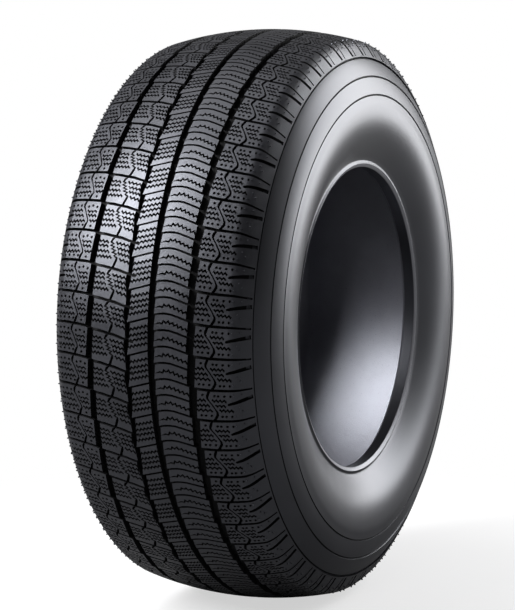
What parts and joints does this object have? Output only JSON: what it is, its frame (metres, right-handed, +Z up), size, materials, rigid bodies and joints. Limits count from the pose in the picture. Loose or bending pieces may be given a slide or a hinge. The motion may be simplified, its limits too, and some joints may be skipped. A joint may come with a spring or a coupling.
{
  "type": "car tyre",
  "caption": "Wide car tyre with a deep asymmetric block tread, plain sidewalls with fine stepped ring lines, and a round seat in each bead for the rim.",
  "frame": {"origin": "the wheel's centre: on the axis, halfway between the two sidewalls", "axes": "+Z up, Y along the wheel's axis, -Y towards the outboard sidewall, X the way the tyre rolls"},
  "size_m": [0.7196, 0.288, 0.7196],
  "materials": {
    "rubber": "satin"
  },
  "bodies": {
    "root": {"tyre": "rubber"}
  },
  "joints": []
}
